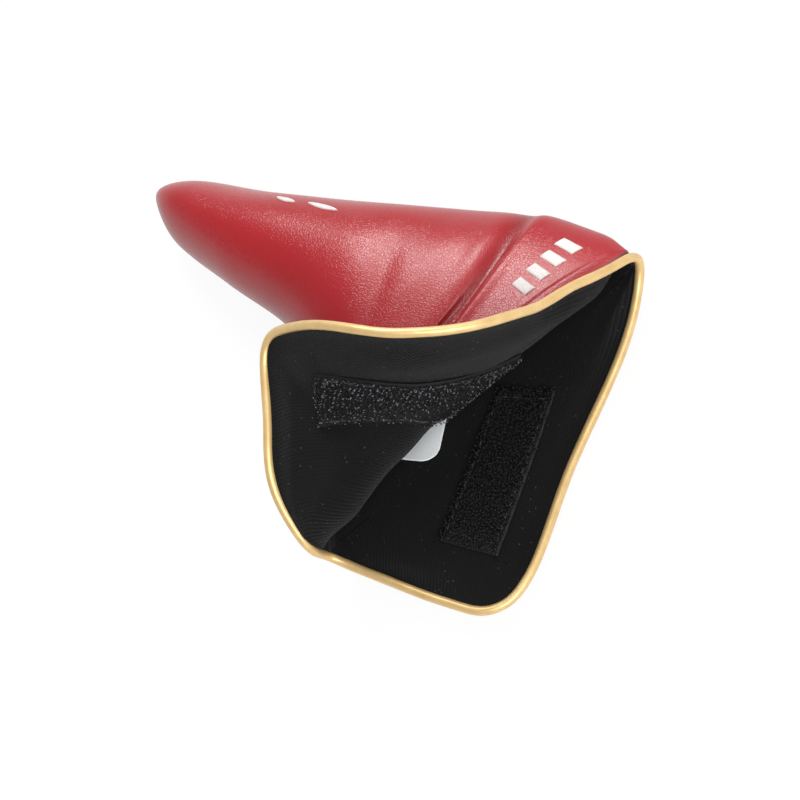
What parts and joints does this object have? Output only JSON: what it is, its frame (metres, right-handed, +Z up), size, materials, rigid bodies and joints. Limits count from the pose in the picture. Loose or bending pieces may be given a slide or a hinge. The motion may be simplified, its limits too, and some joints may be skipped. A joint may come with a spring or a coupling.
{
  "type": "putter head cover",
  "caption": "L-shaped padded leather head cover for a blade putter, lying on its back panel, its piped mouth open and the front flap folded back.",
  "frame": {"origin": "centre of the flat patch of the back panel that the cover lies on", "axes": "+X from the toe to the heel along the sole seam, +Y from the mouth's neck corner up to the sole seam, +Z up out of the resting surface"},
  "size_m": [0.1814, 0.1216, 0.0761],
  "materials": {
    "red_leather": "smooth fine-grained coated leather, semi-gloss",
    "foam": "open-cell padding foam, matt",
    "black_lining": "fine black knit, matt with a soft nap",
    "gold_piping": "metallic gold coated leather, satin",
    "piping_core": "twisted cotton cord",
    "hook_tape": "black woven nylon tape with stiff black hooks",
    "loop_tape": "black brushed nylon loop tape",
    "black_thread": "polyester sewing thread",
    "label_satin": "white woven satin, blank",
    "white_thread": "lustrous white embroidery thread"
  },
  "bodies": {
    "pocket": {"front_shell": "red_leather", "back_shell": "red_leather", "front_foam": "foam", "back_foam": "foam", "front_lining": "black_lining", "back_lining": "black_lining", "front_bend_shell": "red_leather", "front_bend_foam": "foam", "front_bend_lining": "black_lining", "back_bend_shell": "red_leather", "back_bend_foam": "foam", "back_bend_lining": "black_lining", "heel_piping_cover": "gold_piping", "heel_piping_cord": "piping_core", "neck_piping_cover": "gold_piping", "neck_piping_cord": "piping_core", "care_label": "label_satin", "label_stitches": "white_thread", "heel_embroidery": "white_thread", "sole_embroidery": "white_thread"},
    "front_flap": {"front_flap_shell": "red_leather", "front_flap_foam": "foam", "front_flap_lining": "black_lining", "hook_tape": "hook_tape", "hook_tape_stitches": "black_thread", "front_piping_cover": "gold_piping", "front_piping_cord": "piping_core"},
    "back_flap": {"back_flap_shell": "red_leather", "back_flap_foam": "foam", "back_flap_lining": "black_lining", "loop_tape": "loop_tape", "loop_tape_stitches": "black_thread", "back_piping_cover": "gold_piping", "back_piping_cord": "piping_core"}
  },
  "joints": [
    {"name": "front_flap_fold", "type": "hinge", "parent": "pocket", "child": "front_flap", "pos_m": [0.0669, -0.0333, 0.035], "axis": [-0.5279, -0.8493, 0], "range_deg": [-108, 15], "deforming": ["front_bend_shell", "front_bend_foam", "front_bend_lining", "heel_piping_cover", "heel_piping_cord", "neck_piping_cover", "neck_piping_cord"]},
    {"name": "back_flap_fold", "type": "hinge", "parent": "pocket", "child": "back_flap", "pos_m": [0.0644, -0.0317, 0.004], "axis": [-0.5279, -0.8493, 0], "range_deg": [0, 20], "deforming": ["back_bend_shell", "back_bend_foam", "back_bend_lining"]}
  ]
}
